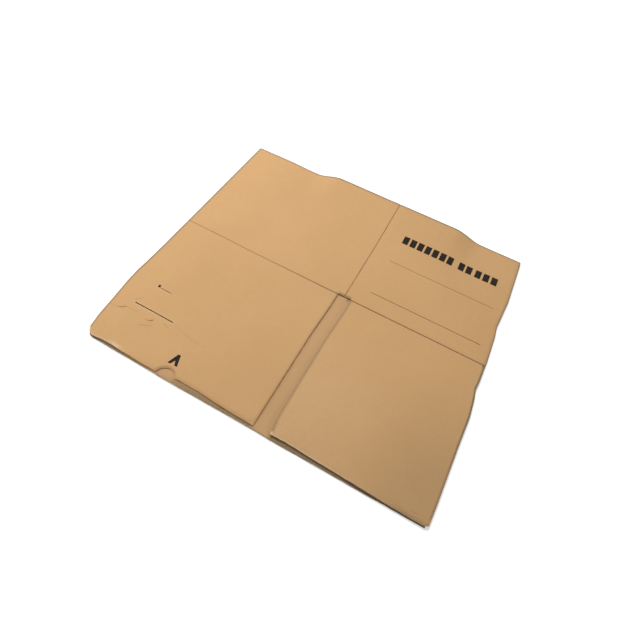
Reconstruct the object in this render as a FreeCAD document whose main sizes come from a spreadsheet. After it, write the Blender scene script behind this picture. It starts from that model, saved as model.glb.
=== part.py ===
"""A corrugated file box, glued into a tube and folded flat, lying on the floor.

The blank is one board.  Folded flat it lies in two layers: above, a long wall and beside it a
short wall with their bottom flaps; below, the other short and long wall.  The layers join in a
round fold at the right and in a glued lap at the left.  Lengths are in millimetres.

Every sketch is drawn from the lower left corner of the sheet: x runs along the free edge of the
bottom flaps, y from that edge to the box's mouth, z up from the floor.  The finished solid is
moved so that its origin is the middle of its footprint.
"""
import FreeCAD, Part
import Sketcher
import math
import os

doc = FreeCAD.newDocument("FlattenedBox")

# Driving dimensions, one to a row: alias, value, what it is
driving = [
    ("board", 3.0, "thickness of the corrugated board"),
    ("long_panel", 390.0, "width of a long wall, fold to fold"),
    ("short_panel", 308.0, "width of a short wall, fold to fold"),
    ("wall_height", 300.0, "height of the walls, score to mouth"),
    ("flap_length", 319.0, "length of the bottom flaps, free edge to score"),
    ("slot_width", 30.0, "gap between neighbouring bottom flaps"),
    ("slot_overrun", 4.0, "how far a slot runs past the score"),
    ("layer_gap", 1.0, "air between the two layers"),
    ("lap_width", 35.0, "width of the glued lap"),
    ("lap_gap", 0.4, "air inside the pressed fold of the lap"),
    ("lap_setback", 12.0, "distance of the lap from score and mouth at its fold"),
    ("lap_taper", 14.0, "how much further in the lap's far edge ends"),
    ("overhang", 3.0, "how far the lower flaps stick out under the upper ones"),
    ("clip_width", 7.0, "width of the clipped outer corner of the end flap"),
    ("clip_height", 3.5, "height of that clipped corner"),
    ("flap_taper", 6.0, "how far the long wall's flap runs in at its rounded corner"),
    ("taper_length", 110.0, "length over which it runs in"),
    ("corner_round", 18.0, "radius of the rounded flap corner"),
    ("notch_width", 38.0, "width of the thumb notch"),
    ("notch_depth", 15.0, "depth of the thumb notch"),
    ("lower_inset", 7.0, "side edges of the lower flaps behind the folds"),
    ("lower_slit", 2.0, "width of the cut between the lower flaps"),
    ("knife_gap", 1.0, "side edge of the end flap behind the fold"),
    ("score_width", 3.0, "width of a pressed score"),
    ("score_depth", 0.8, "depth of a pressed score"),
    ("slit_width", 1.5, "width of the cut slits"),
    ("long_slit_start", 46.0, "long slit, from the left edge"),
    ("long_slit_length", 91.0, "length of the long slit"),
    ("long_slit_height", 89.0, "long slit, from the free edge"),
    ("short_slit_start", 60.0, "short slit, from the left edge"),
    ("short_slit_length", 32.0, "length of the short slit"),
    ("short_slit_height", 142.0, "short slit, from the free edge"),
    ("slit_hole", 4.0, "width of the square hole that ends the short slit"),
    ("flap_lift", 2.0, "lift of the end flap at its free edge"),
    ("flap_droop", 0.6, "share of that lift lost at the flap's outer corner"),
    ("droop_width", 150.0, "width over which the end flap droops"),
    ("lap_ramp", 90.0, "width over which the upper layer comes down off the lap"),
    ("flap_settle", 0.9, "share of the lap's height lost at the flap's free edge"),
    ("mouth_rise", 16.0, "how far the mouth gapes"),
    ("mouth_reach", 170.0, "how far into the tube the gape reaches"),
    ("mouth_margin", 96.0, "flat stretch of the mouth beside the right fold"),
    ("mouth_ramp", 70.0, "width over which the mouth rises"),
    ("pole_step", 20.0, "spacing of the control points of the bent upper layer"),
]

sizes = doc.addObject("Spreadsheet::Sheet", "Sizes")
for row, (alias, number, note) in enumerate(driving, start=1):
    sizes.set(f"A{row}", note)
    sizes.set(f"B{row}", str(number))
    sizes.setAlias(f"B{row}", alias)
doc.recompute()


def size(alias):
    """One driving dimension, read from the sheet."""
    return float(sizes.get(alias))


# Places worked out from the driving dimensions, which the outlines share
derived = [
    ("sheet_width", "Sizes.long_panel + Sizes.short_panel"),
    ("free_edge", "Sizes.overhang"),
    ("clip_edge", "free_edge + Sizes.clip_height"),
    ("score_line", "Sizes.overhang + Sizes.flap_length"),
    ("slot_end", "score_line + Sizes.slot_overrun"),
    ("top_edge", "score_line + Sizes.wall_height"),
    ("fold_radius", "Sizes.board + Sizes.layer_gap / 2"),
    ("fold_centre", "sheet_width - fold_radius"),
    ("lap_radius", "Sizes.board + Sizes.lap_gap / 2"),
    ("lap_height", "2 * Sizes.board + Sizes.lap_gap"),
    ("slot_left", "Sizes.long_panel - Sizes.slot_width / 2"),
    ("slot_right", "Sizes.long_panel + Sizes.slot_width / 2"),
    ("flap_end", "sheet_width - Sizes.knife_gap"),
    ("clip_start", "flap_end - Sizes.clip_width"),
    ("corner_side", "Sizes.flap_taper"),
    ("corner_x", "corner_side + Sizes.corner_round"),
    ("corner_y", "free_edge + Sizes.corner_round"),
    ("taper_start", "corner_y + Sizes.taper_length"),
    ("notch_middle", "slot_left / 2"),
    ("notch_left", "notch_middle - Sizes.notch_width / 2"),
    ("notch_right", "notch_middle + Sizes.notch_width / 2"),
    ("notch_radius", "(Sizes.notch_width ^ 2 / 4 + Sizes.notch_depth ^ 2) / (2 * Sizes.notch_depth)"),
    ("notch_centre", "free_edge + Sizes.notch_depth - notch_radius"),
    ("lower_left", "Sizes.lower_inset"),
    ("lower_right", "sheet_width - Sizes.lower_inset"),
    ("lower_slit_left", "Sizes.short_panel - Sizes.lower_slit / 2"),
    ("lower_slit_right", "Sizes.short_panel + Sizes.lower_slit / 2"),
    ("lower_corner_x", "lower_left + Sizes.corner_round"),
    ("lower_corner_y", "Sizes.corner_round"),
    ("long_slit_left", "Sizes.long_slit_start"),
    ("long_slit_right", "Sizes.long_slit_start + Sizes.long_slit_length"),
    ("long_slit_low", "free_edge + Sizes.long_slit_height"),
    ("long_slit_high", "long_slit_low + Sizes.slit_width"),
    ("short_slit_left", "Sizes.short_slit_start"),
    ("short_slit_hole", "Sizes.short_slit_start + Sizes.slit_hole"),
    ("short_slit_right", "Sizes.short_slit_start + Sizes.short_slit_length"),
    ("short_slit_low", "free_edge + Sizes.short_slit_height"),
    ("short_slit_high", "short_slit_low + Sizes.slit_width"),
    ("short_slit_top", "short_slit_low + Sizes.slit_hole"),
    ("lap_start", "score_line + Sizes.lap_setback"),
    ("lap_start_far", "lap_start + Sizes.lap_taper"),
    ("lap_end", "top_edge - Sizes.lap_setback"),
    ("lap_end_far", "lap_end - Sizes.lap_taper"),
    ("lap_far", "Sizes.lap_width"),
]

places = doc.addObject("App::VarSet", "Places")
for name, formula in derived:
    places.addProperty("App::PropertyFloat", name)
    places.setExpression(name, formula)
doc.recompute()


def place(name):
    """One derived place; zero is the corner itself."""
    return 0.0 if name == "zero" else float(getattr(places, name))


def origin_plane(body, role):
    """One of the body's own origin planes, such as XY_Plane."""
    return next(plane for plane in body.Origin.OriginFeatures if plane.Role == role)


def new_sketch(body, name, role="XY_Plane"):
    sketch = body.newObject("Sketcher::SketchObject", name)
    sketch.AttachmentSupport = [(origin_plane(body, role), "")]
    sketch.MapMode = "FlatFace"
    return sketch


def hold(sketch, edge, end, axis, name):
    """Tie one coordinate of a point to a place, or put the point on the axis."""
    if name == "zero":
        sketch.addConstraint(Sketcher.Constraint("PointOnObject", edge, end, -2 if axis == "X" else -1))
        return
    number = sketch.addConstraint(Sketcher.Constraint("Distance" + axis, -1, 1, edge, end, place(name)))
    sketch.setExpression(f"Constraints[{number}]", "Places." + name)


def arc_between(start, finish, centre, turn):
    """The arc from start to finish about the centre, turning left or right."""
    first, last = (start, finish) if turn == "left" else (finish, start)
    angles = [math.atan2(point.y - centre.y, point.x - centre.x) for point in (first, last)]
    circle = Part.Circle(centre, FreeCAD.Vector(0, 0, 1), (first - centre).Length)
    return Part.ArcOfCircle(circle, angles[0], angles[1] if angles[1] > angles[0] else angles[1] + 2 * math.pi)


def draw_outline(sketch, corners):
    """Draw a closed outline through corners given by the names of their places.

    A corner is (x, y), or (x, y, arc) where an arc leaves it.  An arc is (centre x, centre y,
    turn, held axis): the held axis is the coordinate of the centre that the ends leave free.
    """
    points = [FreeCAD.Vector(place(corner[0]), place(corner[1]), 0) for corner in corners]
    starts = []
    for index, corner in enumerate(corners):
        start, finish = points[index], points[(index + 1) % len(points)]
        if len(corner) == 2:
            edge = sketch.addGeometry(Part.LineSegment(start, finish), False)
            starts.append((edge, 1, 2))
        else:
            centre_x, centre_y, turn, axis = corner[2]
            centre = FreeCAD.Vector(place(centre_x), place(centre_y), 0)
            edge = sketch.addGeometry(arc_between(start, finish, centre, turn), False)
            starts.append((edge, 1, 2) if turn == "left" else (edge, 2, 1))
    for index, corner in enumerate(corners):
        edge, first, last = starts[index]
        next_edge, next_first, _ = starts[(index + 1) % len(corners)]
        sketch.addConstraint(Sketcher.Constraint("Coincident", edge, last, next_edge, next_first))
        hold(sketch, edge, first, "X", corner[0])
        hold(sketch, edge, first, "Y", corner[1])
        if len(corner) == 3:
            centre_x, centre_y, turn, axis = corner[2]
            hold(sketch, edge, 3, axis, centre_x if axis == "X" else centre_y)


def draw_box(sketch, left, right, low, high):
    """A rectangle whose four sides are given as formulas of the sheet and the places."""
    names = []
    for side, formula in (("left", left), ("right", right), ("low", low), ("high", high)):
        name = f"{sketch.Name}_{side}_{sketch.GeometryCount}"
        places.addProperty("App::PropertyFloat", name)
        places.setExpression(name, formula)
        names.append(name)
    doc.recompute()
    left, right, low, high = names
    draw_outline(sketch, [(left, low), (right, low), (right, high), (left, high)])


def pad(body, sketch, name, length):
    feature = body.newObject("PartDesign::Pad", name)
    feature.Profile = sketch
    feature.setExpression("Length", length)
    return feature


def pocket(body, sketch, name, depth, upward=False):
    """Cut the sketch's shape down into the body, or up from the sketch's plane."""
    feature = body.newObject("PartDesign::Pocket", name)
    feature.Profile = sketch
    feature.Reversed = upward
    feature.setExpression("Length", depth)
    return feature


# The lower layer: short wall at the left, long wall at the right, with their bottom flaps
lower = doc.addObject("PartDesign::Body", "LowerLayer")
lower_sketch = new_sketch(lower, "LowerOutline")
lower_arc = ("lower_corner_x", "lower_corner_y", "left", "X")
draw_outline(lower_sketch, [
    ("lower_corner_x", "zero"),
    ("lower_slit_left", "zero"),
    ("lower_slit_left", "slot_end"),
    ("lower_slit_right", "slot_end"),
    ("lower_slit_right", "zero"),
    ("lower_right", "zero"),
    ("lower_right", "score_line"),
    ("fold_centre", "score_line"),
    ("fold_centre", "top_edge"),
    ("lap_radius", "top_edge"),
    ("lap_radius", "score_line"),
    ("lower_left", "score_line"),
    ("lower_left", "lower_corner_y", lower_arc),
])
pad(lower, lower_sketch, "LowerBoard", "Sizes.board")

# Scores pressed into the face that lies on the floor
lower_scores = new_sketch(lower, "LowerScores")
draw_box(lower_scores, "Sizes.short_panel - Sizes.score_width / 2",
         "Sizes.short_panel + Sizes.score_width / 2", "slot_end", "top_edge")
draw_box(lower_scores, "lap_radius", "lower_slit_left",
         "score_line", "score_line + Sizes.score_width")
draw_box(lower_scores, "lower_slit_right", "fold_centre",
         "score_line", "score_line + Sizes.score_width")
pocket(lower, lower_scores, "LowerScoreCut", "Sizes.score_depth", upward=True)

# The plan of the upper layer, as a tall block that trims the bent board
plan = doc.addObject("PartDesign::Body", "UpperPlan")
plan_sketch = new_sketch(plan, "UpperOutline")
notch_arc = ("notch_middle", "notch_centre", "right", "Y")
corner_arc = ("corner_x", "corner_y", "left", "X")
draw_outline(plan_sketch, [
    ("corner_x", "free_edge"),
    ("notch_left", "free_edge", notch_arc),
    ("notch_right", "free_edge"),
    ("slot_left", "free_edge"),
    ("slot_left", "slot_end"),
    ("slot_right", "slot_end"),
    ("slot_right", "free_edge"),
    ("clip_start", "free_edge"),
    ("flap_end", "clip_edge"),
    ("flap_end", "score_line"),
    ("fold_centre", "score_line"),
    ("fold_centre", "top_edge"),
    ("zero", "top_edge"),
    ("zero", "taper_start"),
    ("corner_side", "corner_y", corner_arc),
])
block_height = "4 * Sizes.board + Sizes.layer_gap + Sizes.flap_lift + Sizes.mouth_rise"
pad(plan, plan_sketch, "UpperBlock", block_height)

slits = new_sketch(plan, "Slits")
draw_outline(slits, [
    ("long_slit_left", "long_slit_low"),
    ("long_slit_right", "long_slit_low"),
    ("long_slit_right", "long_slit_high"),
    ("long_slit_left", "long_slit_high"),
])
draw_outline(slits, [
    ("short_slit_left", "short_slit_low"),
    ("short_slit_right", "short_slit_low"),
    ("short_slit_right", "short_slit_high"),
    ("short_slit_hole", "short_slit_high"),
    ("short_slit_hole", "short_slit_top"),
    ("short_slit_left", "short_slit_top"),
])
pocket(plan, slits, "SlitCut", block_height, upward=True)

# The strips where the upper board is pressed: the bottom score and the fold between its walls
strips = doc.addObject("PartDesign::Body", "ScoreStrips")
strip_sketch = new_sketch(strips, "StripOutline")
draw_box(strip_sketch, "-Sizes.board", "slot_left + Sizes.board",
         "score_line", "score_line + Sizes.score_width")
draw_box(strip_sketch, "slot_right - Sizes.board", "fold_centre",
         "score_line", "score_line + Sizes.score_width")
draw_box(strip_sketch, "Sizes.long_panel - Sizes.score_width / 2",
         "Sizes.long_panel + Sizes.score_width / 2",
         "slot_end - Sizes.board / 4", "top_edge + Sizes.board")
pad(strips, strip_sketch, "StripBlock", block_height)


def ramp(position, start, width):
    """A smooth step from 0 at start to 1 at start + width."""
    share = min(max((position - start) / width, 0.0), 1.0)
    return share * share * (3.0 - 2.0 * share)


def underside(x, y):
    """Height of the upper board's underside over the floor."""
    reach = 2 * size("pole_step")
    rest = size("board") + size("layer_gap")
    on_lap = 1.0 - ramp(x, size("lap_width") + reach, size("lap_ramp"))
    down_flap = min(max(place("score_line") - reach - y, 0.0) / (size("flap_length") - reach), 1.0)
    lap_part = (place("lap_height") - rest) * on_lap * (1.0 - size("flap_settle") * down_flap)
    on_end_flap = ramp(x, place("slot_left"), size("slot_width"))
    droop = 1.0 - size("flap_droop") * ramp(x, place("sheet_width") - size("droop_width"), size("droop_width"))
    flap_part = size("flap_lift") * down_flap * on_end_flap * droop
    into_mouth = min(max(y - place("top_edge") + size("mouth_reach"), 0.0) / size("mouth_reach"), 1.0)
    mouth_start = size("lap_width") + reach + size("lap_ramp")
    mouth_end = place("sheet_width") - size("mouth_margin") - size("mouth_ramp")
    across = ramp(x, mouth_start, size("mouth_ramp")) * (1.0 - ramp(x, mouth_end, size("mouth_ramp")))
    mouth_part = size("mouth_rise") * into_mouth * into_mouth * across
    return rest + lap_part + flap_part + mouth_part


def even_knots(low, high, step):
    """Knots, multiplicities and the positions of the control points of an even cubic."""
    spans = max(int(math.ceil((high - low) / step)), 4)
    knots = [low + (high - low) * index / spans for index in range(spans + 1)]
    multiplicities = [4] + [1] * (spans - 1) + [4]
    full = [knots[0]] * 3 + knots + [knots[-1]] * 3
    poles = [sum(full[index + 1:index + 4]) / 3.0 for index in range(spans + 3)]
    return knots, multiplicities, poles


def bent_board(raised):
    """The upper board before trimming: its underside swept up by the board's thickness."""
    margin = size("pole_step")
    x_knots, x_mults, x_poles = even_knots(-margin, place("sheet_width") + margin, size("pole_step"))
    y_knots, y_mults, y_poles = even_knots(-margin, place("top_edge") + margin, size("pole_step"))
    poles = [[FreeCAD.Vector(x, y, underside(x, y) + raised) for y in y_poles] for x in x_poles]
    surface = Part.BSplineSurface()
    surface.buildFromPolesMultsKnots(poles, x_mults, y_mults, x_knots, y_knots, False, False, 3, 3)
    return surface.toShape().extrude(FreeCAD.Vector(0, 0, size("board")))


bent = doc.addObject("Part::Feature", "BentBoard")
bent.Shape = bent_board(0.0)
press = doc.addObject("Part::Feature", "PressedSkin")
press.Shape = bent_board(size("board") - size("score_depth"))

trimmed = doc.addObject("Part::Common", "TrimmedBoard")
trimmed.Base = bent
trimmed.Tool = plan
pressed = doc.addObject("Part::Common", "PressedStrips")
pressed.Base = press
pressed.Tool = strips
upper = doc.addObject("Part::Cut", "UpperLayer")
upper.Base = trimmed
upper.Tool = pressed


def fold_section(body, name, centre, radius, inner, side):
    """A half ring standing on the floor: the section of a board folded back over itself."""
    for key, formula in (("x", centre), ("outer", f"2 * ({radius})"),
                         ("middle", radius), ("low", f"{radius} - {inner}"), ("high", f"{radius} + {inner}")):
        places.addProperty("App::PropertyFloat", f"{name}_{key}")
        places.setExpression(f"{name}_{key}", formula)
    doc.recompute()
    sketch = new_sketch(body, name, "XZ_Plane")
    centre_names = (f"{name}_x", f"{name}_middle")
    turn = "left" if side == "right" else "right"
    back = "right" if side == "right" else "left"
    draw_outline(sketch, [
        (f"{name}_x", "zero", centre_names + (turn, "X")),
        (f"{name}_x", f"{name}_outer"),
        (f"{name}_x", f"{name}_high", centre_names + (back, "X")),
        (f"{name}_x", f"{name}_low"),
    ])
    return sketch


# The round fold that joins the layers at the right
right_fold = doc.addObject("PartDesign::Body", "RightFold")
right_section = fold_section(right_fold, "RightSection", "fold_centre", "fold_radius",
                             "Sizes.layer_gap / 2", "right")
right_section.setExpression("AttachmentOffset.Base.z", "-Places.score_line")
right_pad = pad(right_fold, right_section, "RightFoldPad", "Sizes.wall_height")
right_pad.Reversed = True

# The pressed fold at the left, and the lap that it carries back under the long wall
left_fold = doc.addObject("PartDesign::Body", "LeftFold")
left_section = fold_section(left_fold, "LeftSection", "lap_radius", "lap_radius",
                            "Sizes.lap_gap / 2", "left")
left_section.setExpression("AttachmentOffset.Base.z", "-Places.lap_start")
left_pad = pad(left_fold, left_section, "LeftFoldPad", "Places.lap_end - Places.lap_start")
left_pad.Reversed = True

lap = doc.addObject("PartDesign::Body", "Lap")
lap_sketch = new_sketch(lap, "LapOutline")
lap_sketch.setExpression("AttachmentOffset.Base.z", "Sizes.board + Sizes.lap_gap")
draw_outline(lap_sketch, [
    ("lap_radius", "lap_start"),
    ("lap_far", "lap_start_far"),
    ("lap_far", "lap_end_far"),
    ("lap_radius", "lap_end"),
])
pad(lap, lap_sketch, "LapPad", "Sizes.board")

box = doc.addObject("Part::MultiFuse", "FlattenedBox")
box.Label = "flattened_box"
box.Shapes = [lower, upper, right_fold, left_fold, lap]
box.setExpression("Placement.Base.x", "-Places.sheet_width / 2")
box.setExpression("Placement.Base.y", "-Places.top_edge / 2")
doc.recompute()

for item in doc.Objects:
    if "Invalid" in item.State or "Error" in item.State:
        raise RuntimeError(f"{item.Name} failed to build")
if box.Shape.isNull() or not box.Shape.isValid() or len(box.Shape.Solids) != 1:
    raise RuntimeError("the folded box is not one valid solid")

os.makedirs("parts", exist_ok=True)
box.Shape.exportStep(f"parts/{box.Label}.step")
bounds = box.Shape.optimalBoundingBox()
print(f"{box.Label}: {bounds.XLength:.2f} x {bounds.YLength:.2f} x {bounds.ZLength:.2f} mm, "
      f"lowest {bounds.ZMin:.3f}, volume {box.Shape.Volume / 1000:.1f} cm3")
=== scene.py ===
"""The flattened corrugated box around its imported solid: liners, flutes, print and kraft paper.

The board is built as it is made: an outer liner, a wavy medium and an inner liner, each a closed
thin sheet.  Points are worked out on the developed blank in millimetres, from the sheet's lower
left corner as in the part's source, and then placed in the row frame in metres.
"""
import bmesh
import bpy
import math
import numpy as np
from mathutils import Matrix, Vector
from mathutils.geometry import delaunay_2d_cdt


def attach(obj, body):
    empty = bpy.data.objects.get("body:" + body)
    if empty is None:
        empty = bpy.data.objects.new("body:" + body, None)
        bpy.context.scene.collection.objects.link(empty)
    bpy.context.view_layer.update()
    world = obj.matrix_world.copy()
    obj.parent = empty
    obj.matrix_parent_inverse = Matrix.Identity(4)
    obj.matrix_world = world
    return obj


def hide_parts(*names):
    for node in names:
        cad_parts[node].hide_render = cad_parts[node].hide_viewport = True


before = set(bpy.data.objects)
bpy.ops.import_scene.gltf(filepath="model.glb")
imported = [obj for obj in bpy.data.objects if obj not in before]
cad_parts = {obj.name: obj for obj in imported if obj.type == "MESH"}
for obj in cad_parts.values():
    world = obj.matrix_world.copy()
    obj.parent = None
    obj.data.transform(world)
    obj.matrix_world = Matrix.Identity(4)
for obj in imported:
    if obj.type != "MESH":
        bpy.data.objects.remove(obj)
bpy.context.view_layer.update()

# The part's own sizes, in millimetres
BOARD = 3.0
LONG_PANEL = 390.0
SHORT_PANEL = 308.0
FLAP_LENGTH = 319.0
WALL_HEIGHT = 300.0
OVERHANG = 3.0
SHEET = LONG_PANEL + SHORT_PANEL
SCORE = OVERHANG + FLAP_LENGTH
SLOT_END = SCORE + 4.0
TOP = SCORE + WALL_HEIGHT
LAYER_GAP = 1.0
FOLD_RADIUS = BOARD + LAYER_GAP / 2
FOLD_X = SHEET - FOLD_RADIUS
FOLD_LENGTH = math.pi * FOLD_RADIUS
LAP_RADIUS = BOARD + 0.2
LAP_HEIGHT = 2 * LAP_RADIUS
LAP_WIDTH = 35.0
LAP_SETBACK = 12.0
LAP_TAPER = 14.0
LAP_START = LAP_RADIUS - math.pi * LAP_RADIUS
LAP_END = LAP_START - (LAP_WIDTH - LAP_RADIUS)
SLOT_LEFT = LONG_PANEL - 15.0
SLOT_RIGHT = LONG_PANEL + 15.0
FLAP_END = SHEET - 1.0
CLIP_WIDTH = 7.0
CLIP_HEIGHT = 3.5
FLAP_TAPER = 6.0
TAPER_LENGTH = 110.0
CORNER = 18.0
NOTCH_MIDDLE = SLOT_LEFT / 2
NOTCH_HALF = 19.0
NOTCH_DEPTH = 15.0
LOWER_INSET = 7.0
LOWER_SLIT = 0.4
SCORE_WIDTH = 3.0

# How the upper layer comes down from the lap, lifts along its flaps and gapes at the mouth
LEVEL_START = LAP_WIDTH + 40.0
LEVEL_RUN = 90.0
STIFF_STRIP = 40.0
FLAP_LIFT = 2.0
DROOP_RUN = 150.0
MOUTH_DEPTH = 170.0
MOUTH_RISE = 16.0
MOUTH_LEFT = LAP_WIDTH + 130.0
MOUTH_RIGHT = SHEET - 166.0
MOUTH_SIDE = 70.0

# The nick between the end flap and the round fold, and room at a cut's line
FOLD_NICK = 0.6
ON_LINE = 0.01

# The board's own make-up
SCORE_DEPTH = 1.3
LINER = 0.3
MEDIUM = 0.25
PITCH = 6.35


def ramp(position, start, width):
    """A smooth step from 0 at start to 1 at start + width."""
    share = np.clip((position - start) / width, 0.0, 1.0)
    return share * share * (3.0 - 2.0 * share)


def lattice(column, row, seed):
    """A repeatable number from 0 to 1 for each pair of whole numbers."""
    mixed = (column * 73856093) ^ (row * 19349663) ^ (seed * 83492791)
    mixed = ((mixed ^ (mixed >> 13)) & 0x7FFFFFFF) * 1274126177 & 0x7FFFFFFF
    mixed = (mixed ^ (mixed >> 16)) * 668265263 & 0x7FFFFFFF
    return (mixed & 0xFFFFF) / float(0xFFFFF)


def soft_noise(x, y, cell, seed):
    """Smooth noise from 0 to 1 with bumps about cell across."""
    x = np.asarray(x, float) / cell
    y = np.asarray(y, float) / cell
    column = np.floor(x).astype(np.int64)
    row = np.floor(y).astype(np.int64)
    across = ramp(x - column, 0.0, 1.0)
    along = ramp(y - row, 0.0, 1.0)
    low = lattice(column, row, seed) * (1 - across) + lattice(column + 1, row, seed) * across
    high = lattice(column, row + 1, seed) * (1 - across) + lattice(column + 1, row + 1, seed) * across
    return low * (1 - along) + high * along


def flap_share(y):
    """How far down the bottom flaps a point lies: 0 near the score, 1 at the free edge."""
    return np.clip((SCORE - STIFF_STRIP - y) / (FLAP_LENGTH - STIFF_STRIP), 0.0, 1.0)


def underside(x, y):
    """Height of the upper board's underside over the floor, as in the part's source."""
    rest = BOARD + LAYER_GAP
    on_lap = 1.0 - ramp(x, LEVEL_START, LEVEL_RUN)
    down_flap = flap_share(y)
    lap_part = (LAP_HEIGHT - rest) * on_lap * (1.0 - 0.9 * down_flap)
    on_end_flap = ramp(x, SLOT_LEFT, 30.0)
    droop = 1.0 - 0.6 * ramp(x, SHEET - DROOP_RUN, DROOP_RUN)
    flap_part = FLAP_LIFT * down_flap * on_end_flap * droop
    into_mouth = np.clip((y - TOP + MOUTH_DEPTH) / MOUTH_DEPTH, 0.0, 1.0)
    across = ramp(x, MOUTH_LEFT, MOUTH_SIDE) * (1.0 - ramp(x, MOUTH_RIGHT, MOUTH_SIDE))
    mouth_part = MOUTH_RISE * into_mouth * into_mouth * across
    return rest + lap_part + flap_part + mouth_part


# Unevenness of the cut edges and folds: places along an edge, and how far it wanders there
LEFT_WANDER = ([0, 25, 45, 80, 125, 160, 185, 240, 330],
               [3.6, 1.6, -0.6, -1.0, -2.4, -3.4, -2.0, -0.5, 0.0])
RIGHT_WANDER = ([8, 40, 150, 210, 250, 267, 285, 335, 400, 424, 450, 500, 540, 620],
                [0.8, 2.0, 3.6, 5.4, 2.4, -0.8, 0.9, 1.8, 0.2, -2.6, -0.8, 2.4, 1.6, 0.0])
FREE_WANDER = ([24, 45, 70, 95, 140, 170, 215, 255, 285, 320, 370, 410, 435, 480, 545, 600, 660],
               [-0.2, 1.8, 2.0, 0.6, -0.2, -0.2, 6.2, 6.3, 4.4, 3.0, 2.6, 3.8, 4.8, 3.4, 1.6, 0.0, -1.0])
LOWER_WANDER = ([45, 80, 150, 200, 280, 310, 390, 430, 480, 600, 660],
                [0.4, -0.2, -0.4, -1.1, -0.7, -0.2, -0.4, -1.0, -0.3, -0.1, 0.4])


def drift(x, y, upper):
    """How far a point of a layer lies from its drawn place, across and along."""
    near_left = 1.0 - ramp(x, 0.0, 60.0)
    near_right = ramp(x, FLAP_END - 60.0, 60.0)
    right = np.interp(y, *RIGHT_WANDER)
    if not upper:
        right = np.where(y > SCORE, right, 2.5 * (1.0 - y / SCORE))
        left = 3.2 * (1.0 - ramp(y, 6.0, 34.0))
        along = (1.0 - ramp(y, 0.0, 30.0)) * np.interp(x, *LOWER_WANDER)
        return near_left * left + near_right * right, along
    across = near_left * np.interp(y, *LEFT_WANDER) + near_right * right
    beside_slot = (x > LONG_PANEL) * (1.0 - ramp(x, SLOT_RIGHT, 50.0))
    across = across - 3.4 * beside_slot * ramp(y, 8.0, 40.0) * (1.0 - ramp(y, 200.0, 100.0))
    before_slot = (x < LONG_PANEL) * ramp(x, SLOT_LEFT - 60.0, 60.0)
    across = across - 2.8 * before_slot * (1.0 - ramp(y, 200.0, 100.0))
    along = (1.0 - ramp(y, 3.0, 40.0)) * np.interp(x, *FREE_WANDER)
    return across, along


def arc(cx, cy, radius, start, end, step=2.0):
    """Points along an arc from one angle to another, about step apart."""
    count = max(int(abs(end - start) * radius / step), 3)
    angles = np.linspace(start, end, count + 1)
    return [(cx + radius * math.cos(a), cy + radius * math.sin(a)) for a in angles]


NOTCH_RADIUS = (NOTCH_HALF ** 2 + NOTCH_DEPTH ** 2) / (2 * NOTCH_DEPTH)
NOTCH_Y = OVERHANG + NOTCH_DEPTH - NOTCH_RADIUS
NOTCH_ANGLE = math.asin(NOTCH_HALF / NOTCH_RADIUS)

upper_corners = (
    arc(FLAP_TAPER + CORNER, OVERHANG + CORNER, CORNER, math.pi, 1.5 * math.pi)
    + arc(NOTCH_MIDDLE, NOTCH_Y, NOTCH_RADIUS, math.pi / 2 + NOTCH_ANGLE, math.pi / 2 - NOTCH_ANGLE)
    + [(SLOT_LEFT, OVERHANG), (SLOT_LEFT, SLOT_END), (SLOT_RIGHT, SLOT_END), (SLOT_RIGHT, OVERHANG)]
    + [(FLAP_END - CLIP_WIDTH, OVERHANG), (FLAP_END, OVERHANG + CLIP_HEIGHT)]
    + [(FLAP_END, SCORE - FOLD_NICK), (FOLD_X, SCORE - FOLD_NICK), (FOLD_X, SCORE)]
    + [(FOLD_X + FOLD_LENGTH, SCORE), (FOLD_X + FOLD_LENGTH, TOP), (0.0, TOP)]
    + [(0.0, OVERHANG + CORNER + TAPER_LENGTH)]
)
lower_corners = (
    arc(LOWER_INSET + CORNER, CORNER, CORNER, math.pi, 1.5 * math.pi)
    + [(SHORT_PANEL - LOWER_SLIT, 0.0), (SHORT_PANEL - LOWER_SLIT, SLOT_END)]
    + [(SHORT_PANEL + LOWER_SLIT, SLOT_END), (SHORT_PANEL + LOWER_SLIT, 0.0)]
    + [(SHEET - LOWER_INSET, 0.0), (SHEET - LOWER_INSET, SCORE)]
    + [(FOLD_X, SCORE), (FOLD_X, TOP), (LAP_RADIUS, TOP), (LAP_RADIUS, TOP - LAP_SETBACK)]
    + [(LAP_START, TOP - LAP_SETBACK), (LAP_END, TOP - LAP_SETBACK - LAP_TAPER)]
    + [(LAP_END, SCORE + LAP_SETBACK + LAP_TAPER), (LAP_START, SCORE + LAP_SETBACK)]
    + [(LAP_RADIUS, SCORE + LAP_SETBACK), (LAP_RADIUS, SCORE), (LOWER_INSET, SCORE)]
)
long_slit = [(45, 96.8), (134, 96.8), (134, 98.9), (45, 98.9)]
short_slit = [(57, 148), (90, 148), (90, 149.2), (62.5, 149.2), (62.5, 154), (57, 154)]
slits = [long_slit, short_slit]


def sides_of(loops):
    """Every side of these outlines: the ends' places, one side to a row."""
    rows = [start + end for loop in loops for start, end in zip(loop, loop[1:] + loop[:1])]
    return np.array(rows, float)


def distance(sides, x, y):
    """Each point's distance from the nearest side."""
    nearest = np.full(len(x), 1e9)
    for ax, ay, bx, by in sides:
        length = max((bx - ax) ** 2 + (by - ay) ** 2, 1e-9)
        run = np.clip(((x - ax) * (bx - ax) + (y - ay) * (by - ay)) / length, 0.0, 1.0)
        nearest = np.minimum(nearest, np.hypot(x - ax - run * (bx - ax), y - ay - run * (by - ay)))
    return nearest


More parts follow.
